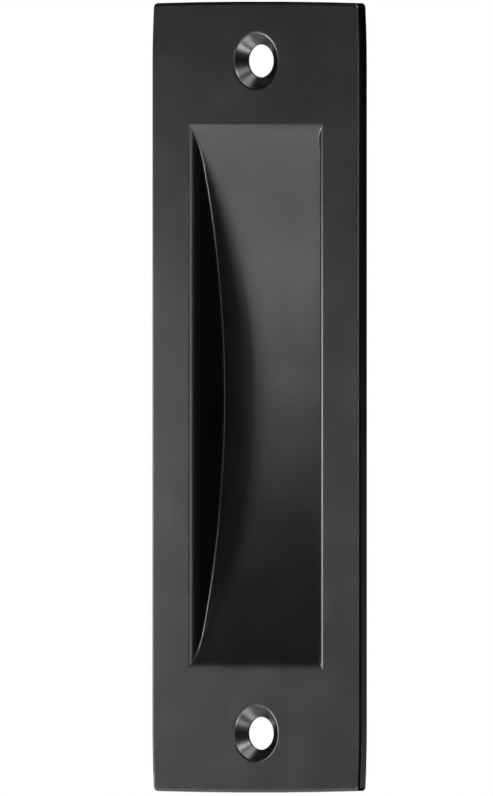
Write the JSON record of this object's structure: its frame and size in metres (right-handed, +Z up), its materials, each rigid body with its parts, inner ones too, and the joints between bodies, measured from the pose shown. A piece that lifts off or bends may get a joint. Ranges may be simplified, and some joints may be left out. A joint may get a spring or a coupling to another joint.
{
  "type": "pocket door pull",
  "caption": "Flush pull for a sliding door: a flat cast plate with a scooped finger pocket and countersunk screw holes above and below it.",
  "frame": {"origin": "centre of the plate's back face, halfway between the two screw holes, where it seats on the door", "axes": "+Z up along the plate's length, +X across its width to the viewer's right, and the front with the finger pocket faces -Y"},
  "size_m": [0.0404, 0.0084, 0.12],
  "materials": {
    "black_coated_metal": "satin"
  },
  "bodies": {
    "root": {"pull_body": "black_coated_metal"}
  },
  "joints": []
}
